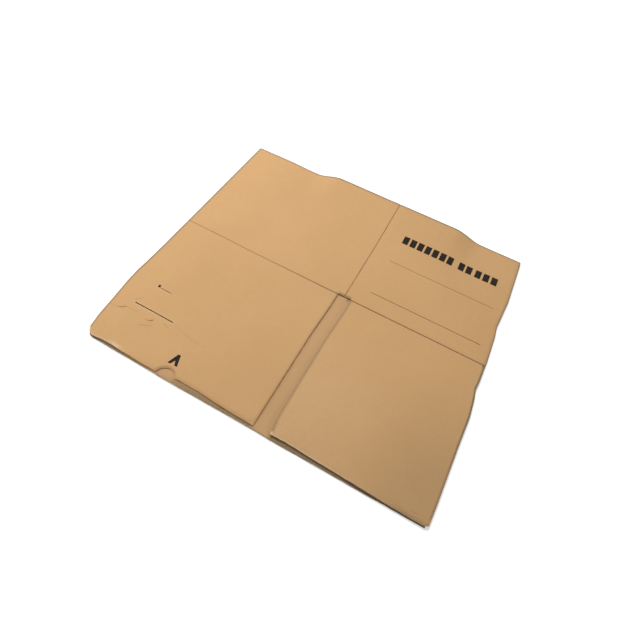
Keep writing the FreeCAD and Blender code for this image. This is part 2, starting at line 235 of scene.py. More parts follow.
upper_sides = sides_of([upper_corners])
off_fold = (upper_sides[:, [0, 2]] < FOLD_X + 1.0).any(1) | (upper_sides[:, [1, 3]] < SCORE).all(1)
upper_cuts = upper_sides[off_fold]
lower_sides = sides_of([lower_corners])
lower_cuts = lower_sides[(lower_sides[:, 1] != lower_sides[:, 3]) | (lower_sides[:, 0] < FOLD_X)]
lower_cuts = lower_cuts[lower_cuts[:, [0, 2]].min(1) < FOLD_X]
slit_sides = sides_of(slits)

CREASES = [
    # points along the crease, depth, half width
    ([(11, 71), (19, 72), (27, 74)], 0.35, 2.2),
    ([(27, 74), (32, 77), (37, 81)], 0.8, 1.9),
    ([(37, 81), (48, 81), (61, 83)], 0.25, 2.2),
    ([(88, 77), (94, 78)], 0.35, 1.8),
    ([(94, 78), (97, 80), (100, 83)], 1.0, 1.8),
    ([(41, 103), (47, 108), (52, 114)], 0.3, 2.0),
    ([(85, 62), (95, 66), (104, 70)], 0.3, 2.6),
    ([(122, 86), (127, 85), (132, 83)], 0.35, 2.0),
    ([(141, 95), (185, 85), (217, 85)], 0.12, 3.0),
    ([(633, 10), (641, 8), (650, 8)], 0.35, 2.4),
    ([(664, 11), (670, 12), (677, 12)], 0.4, 2.4),
    ([(667, 6), (672, 7), (679, 8)], 0.3, 2.2),
]


def crease_fields(x, y):
    """Depth of the small wrinkles in the upper layer, and the painted shade in their bottoms."""
    total = np.zeros(len(x))
    dark = np.zeros(len(x))
    for points, depth, half in CREASES:
        nearest = distance(sides_of([points])[:-1], x, y)
        valley = np.exp(-(nearest / (0.45 * half)) ** 2)
        total += depth * valley - 0.35 * depth * np.exp(-((nearest - half) / (0.6 * half)) ** 2)
        # Painted shade in the wrinkle's bottom
        dark = np.maximum(dark, min(1.0, 1.1 * depth) * valley)
    return total, dark


def groove(distance_off, width, depth):
    """Depth of a pressed line at this distance from its middle."""
    return depth * np.clip(1.0 - np.abs(distance_off) / (width / 2), 0.0, 1.0) ** 0.7


def beside_notch(x, y):
    """Distance from the thumb notch's arc."""
    return np.abs(np.hypot(x - NOTCH_MIDDLE, y - NOTCH_Y) - NOTCH_RADIUS)


def press(distance_in, reach, depth):
    """How far a cut edge is pressed in, fading at this distance from it."""
    return depth * (1.0 - ramp(distance_in, 0.0, reach))


def upper_outer(x, y):
    """How far the upper layer's outer face lies under its flat place."""
    bottom = groove(y - SCORE - SCORE_WIDTH / 2, SCORE_WIDTH, SCORE_DEPTH)
    bottom = bottom * ((x < SLOT_LEFT + ON_LINE) | (x > SLOT_RIGHT - ON_LINE)) * (x < FOLD_X)
    panel = groove(x - LONG_PANEL, SCORE_WIDTH, SCORE_DEPTH) * (y > SLOT_END - ON_LINE)
    dent = 0.8 * ramp(soft_noise(x, y * 0.2, 34.0, 5), 0.5, 0.35) * (1.0 - ramp(y - OVERHANG, 0.0, 9.0))
    edge = press(distance(upper_cuts, x, y), 2.6, 0.75) + press(distance(slit_sides, x, y), 1.4, 0.35)
    near_notch = beside_notch(x, y)
    crushed = press(near_notch, 4.5, 1.4)
    crushed = crushed + press(np.hypot(x - SLOT_LEFT, y - OVERHANG), 14.0, 1.6)
    crushed = crushed + press(np.abs(x - SLOT_LEFT), 4.0, 0.5) * (y < SLOT_END)
    crushed = crushed + press(y - OVERHANG, 5.0, 1.0) * (x > NOTCH_MIDDLE) * (x < SLOT_LEFT + 0.1)
    total = np.maximum(bottom, panel) + dent + edge + crushed + crease_fields(x, y)[0]
    return np.minimum(total, 1.6 + press(near_notch, 9.0, 0.3))


def upper_inner(x, y):
    """Depth of the upper layer's inner face."""
    edge = press(distance(upper_cuts, x, y), 2.2, 0.35) * ramp(beside_notch(x, y), 5.0, 8.0)
    return BOARD - edge - 0.15 * soft_noise(x, y, 25.0, 9)


def lower_outer(x, y):
    """How far the lower layer's outer face is pressed up from the floor."""
    bottom = groove(y - SCORE - SCORE_WIDTH / 2, SCORE_WIDTH, SCORE_DEPTH)
    panel = groove(x - SHORT_PANEL, SCORE_WIDTH, SCORE_DEPTH) * (y > SLOT_END - ON_LINE)
    edge = press(distance(lower_cuts, x, y), 2.2, 0.3) * (x > LAP_RADIUS)
    return np.maximum(bottom, panel) * (x > LAP_RADIUS) * (x < FOLD_X) + edge


def lower_inner(x, y):
    """Depth of the lower layer's inner face, dented along its free edge."""
    dent = 0.7 * ramp(soft_noise(x, y * 0.2, 27.0, 12), 0.5, 0.4) * (1.0 - ramp(y, 0.0, 7.0))
    edge = press(distance(lower_cuts, x, y), 2.6, 0.6)
    return BOARD - dent - edge - 0.15 * soft_noise(x, y, 25.0, 14)


def place_upper(x, y, depth):
    """Developed point of the upper layer, depth under its outer face, in the row frame."""
    across, along = drift(x, y, True)
    angle = np.clip((x - FOLD_X) / FOLD_RADIUS, 0.0, math.pi) * (y > SCORE - 0.3)
    wave = 0.5 * (soft_noise(x, y, 85.0, 21) - 0.5) * (1.0 - ramp(x, FOLD_X - 60.0, 55.0))
    wave = wave * ramp(x, 10.0, 60.0)
    flat_height = underside(x, y) + BOARD - depth + wave - 0.6 * flap_share(y)
    radius = FOLD_RADIUS - depth
    px = np.where(angle > 0, FOLD_X + radius * np.sin(angle), x)
    pz = np.where(angle > 0, FOLD_RADIUS + radius * np.cos(angle), flat_height)
    return np.stack([px + across - SHEET / 2, y + along - TOP / 2, pz], 1) / 1000.0


def place_lower(x, y, depth):
    """Developed point of the lower layer, depth over its outer face, in the row frame."""
    across, along = drift(x, y, False)
    angle = np.clip((LAP_RADIUS - x) / LAP_RADIUS, 0.0, math.pi)
    radius = LAP_RADIUS - depth
    past = np.maximum(LAP_RADIUS - x - math.pi * LAP_RADIUS, 0.0)
    px = np.where(x < LAP_RADIUS, LAP_RADIUS - radius * np.sin(angle) + past, x)
    pz = np.where(x < LAP_RADIUS, LAP_RADIUS - radius * np.cos(angle), depth)
    return np.stack([px + across - SHEET / 2, y + along - TOP / 2, pz], 1) / 1000.0


def divided(corners, step=5.0):
    """A closed outline's corners with points added along its long sides."""
    made = []
    for (ax, ay), (bx, by) in zip(corners, corners[1:] + corners[:1]):
        count = max(int(round(math.hypot(bx - ax, by - ay) / step)), 1)
        made += [(ax + (bx - ax) * k / count, ay + (by - ay) * k / count) for k in range(count)]
    return made


def ragged(points, seed):
    """The cut edges that lie across the flutes, a little uneven."""
    made = []
    for x, y in points:
        free = y < OVERHANG + 3.2 and not (SLOT_LEFT - 0.1 < x < SLOT_RIGHT + 0.1)
        amount = 0.45 if free else 0.0
        if y > TOP - ON_LINE:
            amount = 0.25
        shift = amount * (float(soft_noise(x, 0.0, 11.0, seed)) - 0.5)
        shift += 0.6 * amount * (float(soft_noise(x, 0.0, 3.0, seed + 1)) - 0.5)
        made.append((x, y + shift))
    return made


def inside(loops, x, y):
    """Whether each point lies in the first outline and in none of the others."""
    count = np.zeros(len(x), int)
    for loop in loops:
        for (ax, ay), (bx, by) in zip(loop, loop[1:] + loop[:1]):
            if ay != by:
                at = ax + (y - ay) * (bx - ax) / (by - ay)
                count += ((ay > y) != (by > y)) & (x < at)
    return count % 2 == 1


def grid(xs, ys):
    """Every pair of these places across and along."""
    x, y = np.meshgrid(xs, ys)
    return np.stack([x.ravel(), y.ravel()], 1)


def rings(loop, insets):
    """Points that follow a left-turning outline at these distances inside it."""
    made = []
    for (ax, ay), (bx, by) in zip(loop, loop[1:] + loop[:1]):
        length = math.hypot(bx - ax, by - ay)
        if length > 0.5:
            for inset in insets:
                made.append(((ax + bx) / 2 - inset * (by - ay) / length,
                             (ay + by) / 2 + inset * (bx - ax) / length))
    return np.array(made)


def triangulate(loops, marks, extra, least=0.75):
    """Triangles of the outlines' inside, with the marks' sides kept as edges."""
    every = loops + marks
    keep = inside(loops, extra[:, 0], extra[:, 1])
    extra = extra[keep]
    extra = extra[distance(sides_of(every), extra[:, 0], extra[:, 1]) > least]
    points, edges = [], []
    for loop in every:
        first = len(points)
        points += [Vector(point) for point in loop]
        edges += [(first + k, first + (k + 1) % len(loop)) for k in range(len(loop))]
    points += [Vector(point) for point in extra]
    found = delaunay_2d_cdt(points, edges, [], 0, 1e-5, False)
    verts = np.array([tuple(v) for v in found[0]])
    faces = np.array([tuple(f) for f in found[2]])
    middle = verts[faces].mean(1)
    faces = faces[inside(loops, middle[:, 0], middle[:, 1])]
    middle = verts[faces].mean(1)
    mark = np.zeros(len(faces), int)
    for number, loop in enumerate(marks):
        mark[inside([loop], middle[:, 0], middle[:, 1])] = number + 1
    used = np.unique(faces)
    new_number = np.zeros(len(verts), int)
    new_number[used] = np.arange(len(used))
    return verts[used], new_number[faces], mark


BAKE_MARGIN = 0.008
RIM_SPARE = 1.15
RIM_CELL = np.array([(0.15, 0.15), (0.85, 0.15), (0.85, 0.85), (0.15, 0.85)])


def bake_map(mesh, points, counts, high_side_shows):
    """A UV map that gives the side that shows the most room, the other side and the rim little."""
    skin, back, rim = counts
    low = points.min(0)
    flat = (points - low) / (points[:, 0].max() - low[0])
    height = flat[:, 1].max()
    large = 1.0 - 2 * BAKE_MARGIN
    shelf = height * large + 3 * BAKE_MARGIN
    room = 1.0 - BAKE_MARGIN - shelf
    small = room / height
    corners = np.zeros(len(mesh.loops), np.int32)
    mesh.loops.foreach_get("vertex_index", corners)
    starts = np.zeros(len(mesh.polygons), np.int32)
    mesh.polygons.foreach_get("loop_start", starts)
    side = np.zeros(len(corners), int)
    side[starts[skin]:] = 1
    on_flat = flat[corners % len(points)]
    shows = (side == 1) if high_side_shows else (side == 0)
    place = np.where(shows[:, None], BAKE_MARGIN + on_flat * large,
                     np.array([BAKE_MARGIN, shelf]) + on_flat * small)
    cell_left = BAKE_MARGIN + small + 2 * BAKE_MARGIN
    cell = math.sqrt((1.0 - BAKE_MARGIN - cell_left) * room / (RIM_SPARE * rim))
    per_row = int((1.0 - BAKE_MARGIN - cell_left) / cell)
    first = starts[skin + back]
    number = np.arange(len(corners) - first) // 4
    step = np.arange(len(corners) - first) % 4
    cells = np.stack([cell_left + (number % per_row) * cell, shelf + (number // per_row) * cell], 1)
    place[first:] = cells + RIM_CELL[step] * cell
    layer = mesh.uv_layers.new(name="OFBake")
    layer.uv.foreach_set("vector", place.astype(np.float32).ravel())


def closed_sheet(name, points, faces, place, low, high, materials,
                 slots=None, tones=None, high_side_shows=False):
    """A closed thin piece between two depths over a flat net; its rim takes the last material."""
    x, y = points[:, 0], points[:, 1]
    count = len(points)
    places = np.concatenate([place(x, y, low), place(x, y, high)])
    sides = {}
    for face in faces:
        for k in range(len(face)):
            a, b = face[k], face[(k + 1) % len(face)]
            if (b, a) in sides:
                del sides[(b, a)]
            else:
                sides[(a, b)] = True
    skin = [tuple(face) for face in faces]
    back = [tuple(v + count for v in reversed(face)) for face in faces]
    rim = [(b, a, a + count, b + count) for a, b in sides]
    mesh = bpy.data.meshes.new(name)
    mesh.from_pydata(places.tolist(), [], skin + back + rim)
    for material in materials:
        mesh.materials.append(material)
    smooth = np.array([True] * (len(skin) + len(back)) + [False] * len(rim))
    mesh.polygons.foreach_set("use_smooth", smooth)
    numbers = np.zeros(len(smooth), np.int32)
    if slots is not None:
        numbers[:len(skin)] = slots
    numbers[len(skin) + len(back):] = len(materials) - 1
    mesh.polygons.foreach_set("material_index", numbers)
    for key, values in (tones or {}).items():
        attribute = mesh.attributes.new(key, "FLOAT", "POINT")
        attribute.data.foreach_set("value", np.concatenate([values, values]).astype(np.float32))
    bake_map(mesh, points, (len(skin), len(back), len(rim)), high_side_shows)
    net = bmesh.new()
    net.from_mesh(mesh)
    bmesh.ops.recalc_face_normals(net, faces=net.faces)
    net.to_mesh(mesh)
    net.free()
    mesh.set_sharp_from_angle(angle=math.radians(40))
    piece = bpy.data.objects.new(name, mesh)
    bpy.context.scene.collection.objects.link(piece)
    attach(piece, "root")
    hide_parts("flattened_box")


class Nodes:
    """Short names for building one material's node tree."""

    def __init__(self, name):
        self.material = bpy.data.materials.new(name)
        self.material.use_nodes = True
        self.tree = self.material.node_tree
        self.shader = self.tree.nodes["Principled BSDF"]
        coordinates = self.tree.nodes.new("ShaderNodeTexCoord")
        self.place = coordinates.outputs["Object"]

    def link(self, source, target):
        """Feed a socket from another socket, or set it to a number or colour."""
        if isinstance(source, (int, float, tuple)):
            target.default_value = source
        else:
            self.tree.links.new(source, target)

    def math(self, kind, a, b=0.0, c=0.0):
        """The result of one sum on up to three values."""
        node = self.tree.nodes.new("ShaderNodeMath")
        node.operation = kind
        for socket, value in zip(node.inputs, (a, b, c)):
            self.link(value, socket)
        return node.outputs[0]

    def stretched(self, scale, turn=0.0):
        """Coordinates that draw a texture out by this much each way, turned about Z."""
        node = self.tree.nodes.new("ShaderNodeMapping")
        node.vector_type = "TEXTURE"
        self.link(self.place, node.inputs["Vector"])
        node.inputs["Rotation"].default_value = (0.0, 0.0, turn)
        node.inputs["Scale"].default_value = scale
        return node.outputs[0]

    def noise(self, scale, detail=3.0, rough=0.5, vector=None):
        """Noise from 0 to 1, on the piece's own coordinates unless others are given."""
        node = self.tree.nodes.new("ShaderNodeTexNoise")
        self.link(self.place if vector is None else vector, node.inputs["Vector"])
        node.inputs["Scale"].default_value = scale
        node.inputs["Detail"].default_value = detail
        node.inputs["Roughness"].default_value = rough
        return node.outputs["Fac"]

    def band(self, value, low, high, out_low=0.0, out_high=1.0):
        """A value's range from low to high, eased on to another range."""
        node = self.tree.nodes.new("ShaderNodeMapRange")
        node.interpolation_type = "SMOOTHSTEP"
        self.link(value, node.inputs["Value"])
        for key, number in (("From Min", low), ("From Max", high), ("To Min", out_low), ("To Max", out_high)):
            node.inputs[key].default_value = number
        return node.outputs["Result"]

    def mix(self, share, a, b):
        """A colour between two, by this share of the second."""
        node = self.tree.nodes.new("ShaderNodeMix")
        node.data_type = "RGBA"
        node.clamp_factor = True
        self.link(share, node.inputs["Factor"])
        self.link(a, node.inputs[6])
        self.link(b, node.inputs[7])
        return node.outputs[2]

    def attribute(self, name):
        """A tone that is stored on the mesh's points."""
        node = self.tree.nodes.new("ShaderNodeAttribute")
        node.attribute_name = name
        return node.outputs["Fac"]


def tinted(colour, red, green, blue):
    """A colour with each part scaled."""
    return (min(colour[0] * red, 1.0), min(colour[1] * green, 1.0), min(colour[2] * blue, 1.0), 1.0)


# Darker colour for painted shade in grooves, wrinkles, gaps and beside edges, and for edge dirt
SHADE_AND_SOIL_COLOUR = (0.175, 0.130, 0.080, 1.0)
# Paler colour for worn paper and for painted light on the end flap
WORN_AND_LIT_COLOUR = (0.760, 0.540, 0.330, 1.0)


def kraft(name, base, ink=None, cover=1.0, coarse=1.0):
    """Kraft paper: faint clouds and fibres, flute lines that show through, worn edges, painted light on the
    end flap, and painted shade in wrinkles, grooves and along edges mixed with edge dirt.
    """
    n = Nodes(name)
    dark = tinted(base, 0.72, 0.68, 0.62)
    light = tinted(base, 1.16, 1.22, 1.32)
    cloud = n.noise(6.0, 3.0, 0.55)
    mottle = n.noise(70.0, 4.0, 0.6)
    fibre_a = n.noise(1.0, 3.0, 0.6, n.stretched((0.0042, 0.0007, 0.0042), 0.10))
    fibre_b = n.noise(1.0, 3.0, 0.6, n.stretched((0.0020, 0.0005, 0.0020), -0.35))
    grain = n.noise(1400.0, 2.0, 0.6)
    separate = n.tree.nodes.new("ShaderNodeSeparateXYZ")
    n.link(n.place, separate.inputs[0])
    rib = n.math("SINE", n.math("MULTIPLY", separate.outputs["X"], 2 * math.pi / (PITCH / 1000)))
    rib = n.math("MULTIPLY", rib, n.band(n.noise(14.0, 2.0, 0.5), 0.35, 0.7, 0.2, 1.0))
    colour = n.mix(n.band(cloud, 0.7, 0.3, 0.0, 0.16), base, dark)
    colour = n.mix(n.band(mottle, 0.45, 0.75, 0.0, 0.14), colour, light)
    colour = n.mix(n.band(fibre_a, 0.52, 0.75, 0.0, 0.26), colour, light)
    colour = n.mix(n.band(fibre_b, 0.48, 0.24, 0.0, 0.24), colour, dark)
    speck = n.band(grain, 0.67, 0.74, 0.0, 0.35)
    colour = n.mix(speck, colour, tinted(dark, 0.6, 0.55, 0.5))
    colour = n.mix(n.band(rib, -1.0, 1.0, 0.0, 0.05), colour, dark)
    # Worn paper and painted light from the mesh's tone, broken up by noise
    wear_and_light_share = n.math("MULTIPLY", n.attribute("wear"), n.band(n.noise(160.0, 4.0, 0.65), 0.30, 0.55, 0.5, 1.0))
    colour = n.mix(n.math("MULTIPLY", wear_and_light_share, 0.9), colour, WORN_AND_LIT_COLOUR)
    # Painted shade and edge dirt from the mesh's tone, broken up by noise
    shade_and_soil_share = n.math("MULTIPLY", n.attribute("soil"), n.band(n.noise(300.0, 3.0, 0.6), 0.25, 0.6, 0.7, 1.0))
    colour = n.mix(shade_and_soil_share, colour, SHADE_AND_SOIL_COLOUR)
    if ink is not None:
        share = n.band(n.noise(900.0, 3.0, 0.7), 0.28, 0.44, 0.86, 1.0)
        colour = n.mix(n.math("MULTIPLY", share, cover), colour, ink)
    n.link(colour, n.shader.inputs["Base Color"])
    n.link(n.band(mottle, 0.2, 0.8, 0.74, 0.9), n.shader.inputs["Roughness"])
    n.shader.inputs["Specular IOR Level"].default_value = 0.22
    height = n.math("MULTIPLY", fibre_a, 0.5)
    height = n.math("MULTIPLY_ADD", fibre_b, 0.35, height)
    height = n.math("MULTIPLY_ADD", grain, 0.25 * coarse, height)
    height = n.math("MULTIPLY_ADD", rib, 0.2, height)
    height = n.math("MULTIPLY_ADD", mottle, 0.5, height)
    bump = n.tree.nodes.new("ShaderNodeBump")
    bump.inputs["Strength"].default_value = 0.5
    bump.inputs["Distance"].default_value = 0.00006
    n.link(height, bump.inputs["Height"])
    n.link(bump.outputs["Normal"], n.shader.inputs["Normal"])
    return n.material


OUTER = (0.606, 0.364, 0.167, 1.0)
INNER = (0.560, 0.338, 0.165, 1.0)
RAW = (0.400, 0.255, 0.130, 1.0)
INK = (0.010, 0.006, 0.003, 1.0)
RULE_INK = (0.09, 0.052, 0.026, 1.0)
FAINT_INK = (0.10, 0.06, 0.03, 1.0)
outer_paper = kraft("kraft_outer", OUTER)
inner_paper = kraft("kraft_inner", INNER, coarse=1.5)
flute_paper = kraft("kraft_flute", RAW, coarse=1.5)
cut_paper = kraft("kraft_cut", RAW, coarse=1.5)
ink_paper = kraft("kraft_inked", OUTER, ink=INK)
rule_paper = kraft("kraft_ruled", OUTER, ink=RULE_INK, cover=0.95)
faint_paper = kraft("kraft_faint_rule", OUTER, ink=FAINT_INK, cover=0.7)

# Printed marks: an arrow head, a row of blocks and two fine rules
ARROW_X, ARROW_FOOT, ARROW_FORK, ARROW_TIP = NOTCH_MIDDLE - 0.8, 26.8, 36.5, 49.5
ARROW_HALF, ARROW_LEG = 10.2, 4.4
BLOCK_LOW, BLOCK_HIGH, BLOCK_WIDTH = 523.0, 545.0, 13.5
BLOCK_STARTS = (437.5, 455.5, 473.5, 491.5, 509.5, 527.5, 545.5, 573.5, 591.5, 613.0, 631.5, 650.0)
RULE_LEFT, RULE_RIGHT, RULE_WIDTH = 433.0, 675.0, 1.3
RULE_HEIGHTS = (363.2, 462.6)


def rectangle(left, right, low, high):
    """A rectangle's corners, turning left."""
    return [(left, low), (right, low), (right, high), (left, high)]


arrow = [(ARROW_X - ARROW_HALF, ARROW_FOOT), (ARROW_X - ARROW_LEG, ARROW_FOOT), (ARROW_X, ARROW_FORK),
         (ARROW_X + ARROW_LEG, ARROW_FOOT), (ARROW_X + ARROW_HALF, ARROW_FOOT),
         (ARROW_X + 2.6, ARROW_TIP), (ARROW_X - 2.8, ARROW_TIP)]
blocks = [rectangle(start, start + BLOCK_WIDTH, BLOCK_LOW, BLOCK_HIGH) for start in BLOCK_STARTS]
rules = [rectangle(RULE_LEFT, RULE_RIGHT, low, low + RULE_WIDTH) for low in RULE_HEIGHTS]
marks = [divided(loop, 8.0) for loop in [arrow] + blocks + rules]

# The material of plain paper, of the arrow and each block, and of either rule
MARK_SLOTS = np.array([0] + [1] * (1 + len(blocks)) + [2, 3])

score_rows = SCORE + np.array([0.0, 0.6, 1.1, 1.5, 1.9, 2.4, 3.0])
panel_columns = np.array([-1.5, -0.9, -0.4, 0.0, 0.4, 0.9, 1.5])


def along_creases(step=1.5):
    """Points in rows beside and along each crease, so that the net can bend there."""
    made = []
    for points, _, half_width in CREASES:
        for (ax, ay), (bx, by) in zip(points, points[1:]):
            length = math.hypot(bx - ax, by - ay)
            for k in range(int(length / step) + 1):
                share = k * step / length
                for offset in (-2.2, -1.5, -0.9, -0.45, 0.0, 0.45, 0.9, 1.5, 2.2):
                    off = offset * half_width / 2.0
                    made.append((ax + (bx - ax) * share - off * (by - ay) / length,
                                 ay + (by - ay) * share + off * (bx - ax) / length))
    return np.array(made)


upper_base = divided(upper_corners)
lower_base = divided(lower_corners)
INSETS = (0.9, 1.8, 2.8, 4.5, 7.0)
upper_points = np.concatenate([
    rings(upper_base, INSETS),
    grid(np.arange(10.0, FOLD_X - 2, 6.0), np.arange(14.0, TOP, 6.0)),
    grid(np.arange(4.0, FOLD_X, 2.5), score_rows),
    grid(LONG_PANEL + panel_columns, np.arange(SLOT_END + 3, TOP, 2.5)),
    grid(FOLD_X + np.linspace(0.0, FOLD_LENGTH, 13)[:-1], np.arange(SCORE + 7, TOP, 7.0)),
    along_creases(),
])
lower_points = np.concatenate([
    rings(lower_base, INSETS),
    grid(np.arange(12.0, FOLD_X - 2, 8.0), np.arange(12.0, TOP, 8.0)),
    grid(np.arange(6.0, FOLD_X, 3.0), score_rows),
    grid(SHORT_PANEL + panel_columns, np.arange(SLOT_END + 3, TOP, 3.0)),
    grid(LAP_RADIUS - np.linspace(0.0, math.pi * LAP_RADIUS, 11)[1:],
         np.arange(SCORE + 18, TOP - 16, 8.0)),
    grid(np.arange(LAP_END + 6, LAP_START - 2, 8.0), np.arange(SCORE + 24, TOP - 24, 8.0)),
])


def upper_tones(x, y):
    """Where the upper layer's paper is worn pale, where painted light makes it paler, and where painted shade
    and edge dirt darken it.
    """
    edge = distance(upper_cuts, x, y)
    near_edge = 1.0 - ramp(edge, 0.6, 3.4)
    worn_corner = 0.7 * near_edge * (1.0 - ramp(x, 60.0, 30.0)) * (y < 24.0)
    worn_patch = np.exp(-((x - 74.0) / 16.0) ** 2) * (1.0 - ramp(y - OVERHANG, 2.0, 7.0))
    worn_end = near_edge * (y < OVERHANG + 5.0) * (x > SLOT_RIGHT) * (1.0 - 0.6 * ramp(x, 480.0, 120.0))
    slit_rim = 0.25 * (1.0 - ramp(distance(slit_sides, x, y), 0.6, 2.0))
    # Painted shade in the score's and the panel fold's grooves
    score_strength = 0.25 + 0.75 * ramp(x, 150.0, 250.0)
    score_shade = score_strength * groove(y - SCORE - SCORE_WIDTH / 2, SCORE_WIDTH, 1.0) * (x < FOLD_X)
    score_shade = score_shade * ((x < SLOT_LEFT) | (x > SLOT_RIGHT))
    fold_groove_shade = 0.6 * groove(x - LONG_PANEL, SCORE_WIDTH, 1.0) * (y > SLOT_END)
    # A darker line along the cut edges: painted shade of the pressed-down edge, and edge dirt
    side_strength = 0.65 + 0.3 * ramp(y, 60.0, 150.0)
    edge_shade_and_dirt = side_strength * (1.0 - ramp(edge, 2.0, 3.0)) * (y > OVERHANG + 12.0)
    edge_shade_and_dirt = edge_shade_and_dirt * ((x < SLOT_LEFT - 5.0) | (x > SLOT_RIGHT + 5.0) | (y > SLOT_END))
    edge_shade_and_dirt = edge_shade_and_dirt * (beside_notch(x, y) > 6.0)
    # Painted shadow along the end flap's edge beside the slot
    slot_edge_shadow = 0.6 * (1.0 - ramp(np.abs(x - SLOT_RIGHT), 1.5, 4.0)) * (y > 8.0) * (y < SLOT_END)
    # Painted shade on the round fold, where it turns away from the light
    fold_turn_shade = 0.75 * ramp(x, FOLD_X - 1.0, 3.5) * (y > SCORE)
    # Painted shade along the end flap's bent-down free edge near its corner
    end_corner_shade = 0.5 * (1.0 - ramp(y - OVERHANG, 1.0, 9.0)) * ramp(x, 590.0, 70.0)
    # Painted shade: darker towards the lower right, where the light falls off
    falloff_shade = 0.22 * ramp(x, 500.0, 180.0) * (1.0 - ramp(y, 60.0, 200.0))
    # Painted shade in the wrinkles' bottoms
    crease_shade = 0.7 * crease_fields(x, y)[1]
    # All the painted shade, with the edge dirt, in one darker tone
    soil = np.max([score_shade, fold_groove_shade, edge_shade_and_dirt, slot_edge_shadow, fold_turn_shade, end_corner_shade, falloff_shade, crease_shade], axis=0)
    # Painted light: the end flap's part beside the slot made paler
    painted_flap_light = 0.15 * (x > SLOT_RIGHT) * (1.0 - ramp(x, SLOT_RIGHT + 60.0, 150.0))
    painted_flap_light = painted_flap_light * (1.0 - ramp(y, 120.0, 150.0))
    wear = np.max([worn_corner, worn_patch, worn_end, slit_rim, painted_flap_light], axis=0)
    return {"wear": wear, "soil": np.clip(soil, 0.0, 1.0)}


def lower_outer_tones(x, y):
    """The lower layer's underside: darker along its cut edges."""
    rim = 0.55 * (1.0 - ramp(distance(lower_cuts, x, y), 0.3, 2.5))
    return {"wear": np.zeros(len(x)), "soil": rim}


# Painted shadow of the upper flap on the lower layer's upper side where it sticks out: places along it, and
# how much there
STRIP_SHADOW = ([60, 80, 100, 170, 176, 200, 207, 300, 365, 374, 401, 410, 500, 690],
              [0.95, 0.9, 0.45, 0.4, 0.1, 0.1, 0.55, 0.7, 0.7, 0.0, 0.0, 0.75, 0.85, 0.9])


def lower_inner_tones(x, y):
    """The lower layer's upper side, with painted shadow where it sticks out under the upper flap and beside
    the slot.
    """
    # Painted shadow beside the end flap's edge at the slot
    beside_slot = 0.75 * np.exp(-((x - SLOT_RIGHT + 5.0) / 2.6) ** 2) * ramp(y, 4.0, 10.0)
    # Painted shadow of the upper flap on the strip that sticks out
    strip = np.interp(x, *STRIP_SHADOW) * (1.0 - ramp(y, 9.0, 5.0))
    tones = lower_outer_tones(x, y)
    tones["soil"] = np.max([tones["soil"], beside_slot * (y < SLOT_END), strip], axis=0)
    return tones


def medium_tones(x, y):
    """Painted shade on the flutes where the flaps open apart at the free edge."""
    gap_shade = np.interp(x, [20, 30, 70, 90, 160, 168, 400, 600],
                     [0.5, 1.0, 1.0, 0.4, 0.3, 0.0, 0.0, 0.5])
    return {"wear": np.zeros(len(x)), "soil": gap_shade * (1.0 - ramp(y, 8.0, 12.0))}


def liner(name, outline, slits, marks, extra, place, face, on_inner_side, papers, tones):
    """One liner of a layer, flush with the layer's outer or inner face."""
    loops = [outline] + [divided(slit) for slit in slits]
    points, faces, mark = triangulate(loops, marks, extra)
    x, y = points[:, 0], points[:, 1]
    depth = face(x, y)
    low, high = (depth - LINER, depth) if on_inner_side else (depth, depth + LINER)
    slots = MARK_SLOTS[mark] if marks else None
    closed_sheet(name, points, faces, place, low, high, papers, slots, tones(x, y),
                 high_side_shows=on_inner_side)


liner("upper_outer_liner", ragged(upper_base, 31), slits, marks, upper_points,
      place_upper, upper_outer, False,
      [outer_paper, ink_paper, rule_paper, faint_paper, cut_paper], upper_tones)
liner("upper_inner_liner", ragged(upper_base, 41), slits, [], upper_points[::2],
      place_upper, upper_inner, True, [inner_paper, cut_paper], upper_tones)
liner("lower_outer_liner", ragged(lower_base, 51), [], [], lower_points,
      place_lower, lower_outer, False, [outer_paper, cut_paper], lower_outer_tones)
liner("lower_inner_liner", ragged(lower_base, 61), [], [], lower_points,
      place_lower, lower_inner, True, [inner_paper, cut_paper], lower_inner_tones)


def fluted(name, columns, rows, low_edge, high_edge, holes, place, outer, inner):
    """The wavy medium over columns of the blank, from its low edge to its high edge."""
    low = low_edge(columns)
    high = high_edge(columns)
    height = np.clip(rows[:, None], low[None, :], high[None, :])
    x = np.repeat(columns[None, :], len(rows), 0)
    cells = []
    for j in range(len(rows) - 1):
        tall = (height[j + 1] - height[j]) > 1e-6
        for i in range(len(columns) - 1):
            if not (tall[i] and tall[i + 1]):
                continue
            middle_x = (columns[i] + columns[i + 1]) / 2
            middle_y = (height[j, i] + height[j + 1, i + 1]) / 2
            if any(a < middle_x < b and c < middle_y < d for a, b, c, d in holes):
                continue
            first = j * len(columns) + i
            cells.append((first, first + 1, first + 1 + len(columns), first + len(columns)))
    points = np.stack([x.ravel(), height.ravel()], 1)
    used = np.unique(np.array(cells))
    number = np.zeros(len(points), int)
    number[used] = np.arange(len(used))
    points = points[used]
    cells = number[np.array(cells)]
    px, py = points[:, 0], points[:, 1]
    near = outer(px, py) + LINER
    far = inner(px, py) - LINER
    swing = (far - near - MEDIUM) / 2
    middle = (near + far) / 2 + swing * np.cos(2 * math.pi * px / PITCH)
    closed_sheet(name, points, cells, place, middle - MEDIUM / 2, middle + MEDIUM / 2,
                 [flute_paper], None, medium_tones(px, py))


def round_corner(x, left, low):
    """The low edge beside a rounded corner whose side and foot lie at left and low."""
    return low + CORNER - np.sqrt(np.maximum(CORNER ** 2 - (left + CORNER - x) ** 2, 0.0))


